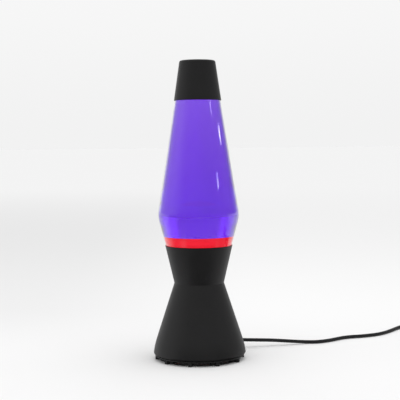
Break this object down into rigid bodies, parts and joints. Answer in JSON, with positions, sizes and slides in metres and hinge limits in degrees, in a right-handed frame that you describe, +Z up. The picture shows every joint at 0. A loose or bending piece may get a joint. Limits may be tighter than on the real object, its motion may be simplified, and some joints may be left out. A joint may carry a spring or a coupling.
{
  "type": "lava lamp",
  "caption": "Lava lamp: glass bottle of violet liquid and red wax in a two-cone black metal base, metal cap, small reflector bulb, mains cord with in-line rocker switch and coiled plug end.",
  "frame": {"origin": "on the lamp axis, on the surface that its feet stand on", "axes": "+Z up along the lamp axis; the cord leaves towards +X and +Y"},
  "size_m": [0.494, 0.3109, 0.43],
  "materials": {
    "black_paint": "fine matt black paint",
    "bottle_glass": "clear glass",
    "violet": "clear violet liquid",
    "red_wax": "red wax, settled",
    "black_plastic": "moulded black",
    "black_cord": "black cord sheath",
    "steel": "plated steel",
    "brass": "bare brass",
    "bulb_glass": "clear glass",
    "nickel": "nickel plate",
    "insulator": "black glass insulator",
    "wire_blue": "blue insulation",
    "wire_brown": "brown insulation",
    "liner": "pale liner",
    "crown_tin": "lacquered tin",
    "stem_glass": "clear glass",
    "tie_band": "woven black band"
  },
  "bodies": {
    "base": {"upper_cone": "black_paint", "lower_cone": "black_paint", "waist_rivets": "steel", "holder_frame": "steel", "base_plate": "black_plastic", "plate_screws": "steel", "lampholder": "black_plastic", "screw_contact": "brass", "centre_contact": "brass", "holder_terminals": "brass", "terminal_screws": "brass", "holder_nipple": "steel", "holder_nut": "steel", "live_wire": "wire_brown", "neutral_wire": "wire_blue", "cord_clamp": "black_plastic", "clamp_screws": "steel", "cord_grommet": "black_cord", "cord_tail": "black_cord", "cord_run": "black_cord", "switch_base": "black_plastic", "switch_cover": "black_plastic", "switch_screws": "steel", "switch_contacts": "brass", "cord_to_coil": "black_cord", "cord_coil": "black_cord", "coil_tie": "tie_band", "cord_to_plug": "black_cord", "plug_body": "black_plastic", "plug_pins": "nickel"},
    "rocker": {"switch_rocker": "black_plastic"},
    "bottle": {"glass_bottle": "bottle_glass", "violet_liquid": "violet", "wax": "red_wax", "warming_coil": "steel", "crown_closure": "crown_tin", "crown_liner": "liner"},
    "cap": {"top_cap": "black_paint"},
    "bulb": {"bulb_glass": "bulb_glass", "bulb_cap": "nickel", "bulb_insulator": "insulator", "bulb_contact": "steel", "bulb_stem": "stem_glass", "bulb_wires": "steel", "filament": "steel"}
  },
  "joints": [
    {"name": "bottle_lift", "type": "slide", "parent": "base", "child": "bottle", "axis": [0, 0, 1], "range_m": [0, 0.08]},
    {"name": "cap_lift", "type": "slide", "parent": "bottle", "child": "cap", "axis": [0, 0, 1], "range_m": [0, 0.055]},
    {"name": "bulb_unscrew", "type": "hinge", "parent": "base", "child": "bulb", "pos_m": [0, 0, 0.036], "axis": [0, 0, 1], "range_deg": [0, 1080]},
    {"name": "rocker_tip", "type": "hinge", "parent": "base", "child": "rocker", "pos_m": [0.41131, 0.16858, 0.0132], "axis": [0.9975, 0.0712, 0], "range_deg": [0, 16]}
  ]
}
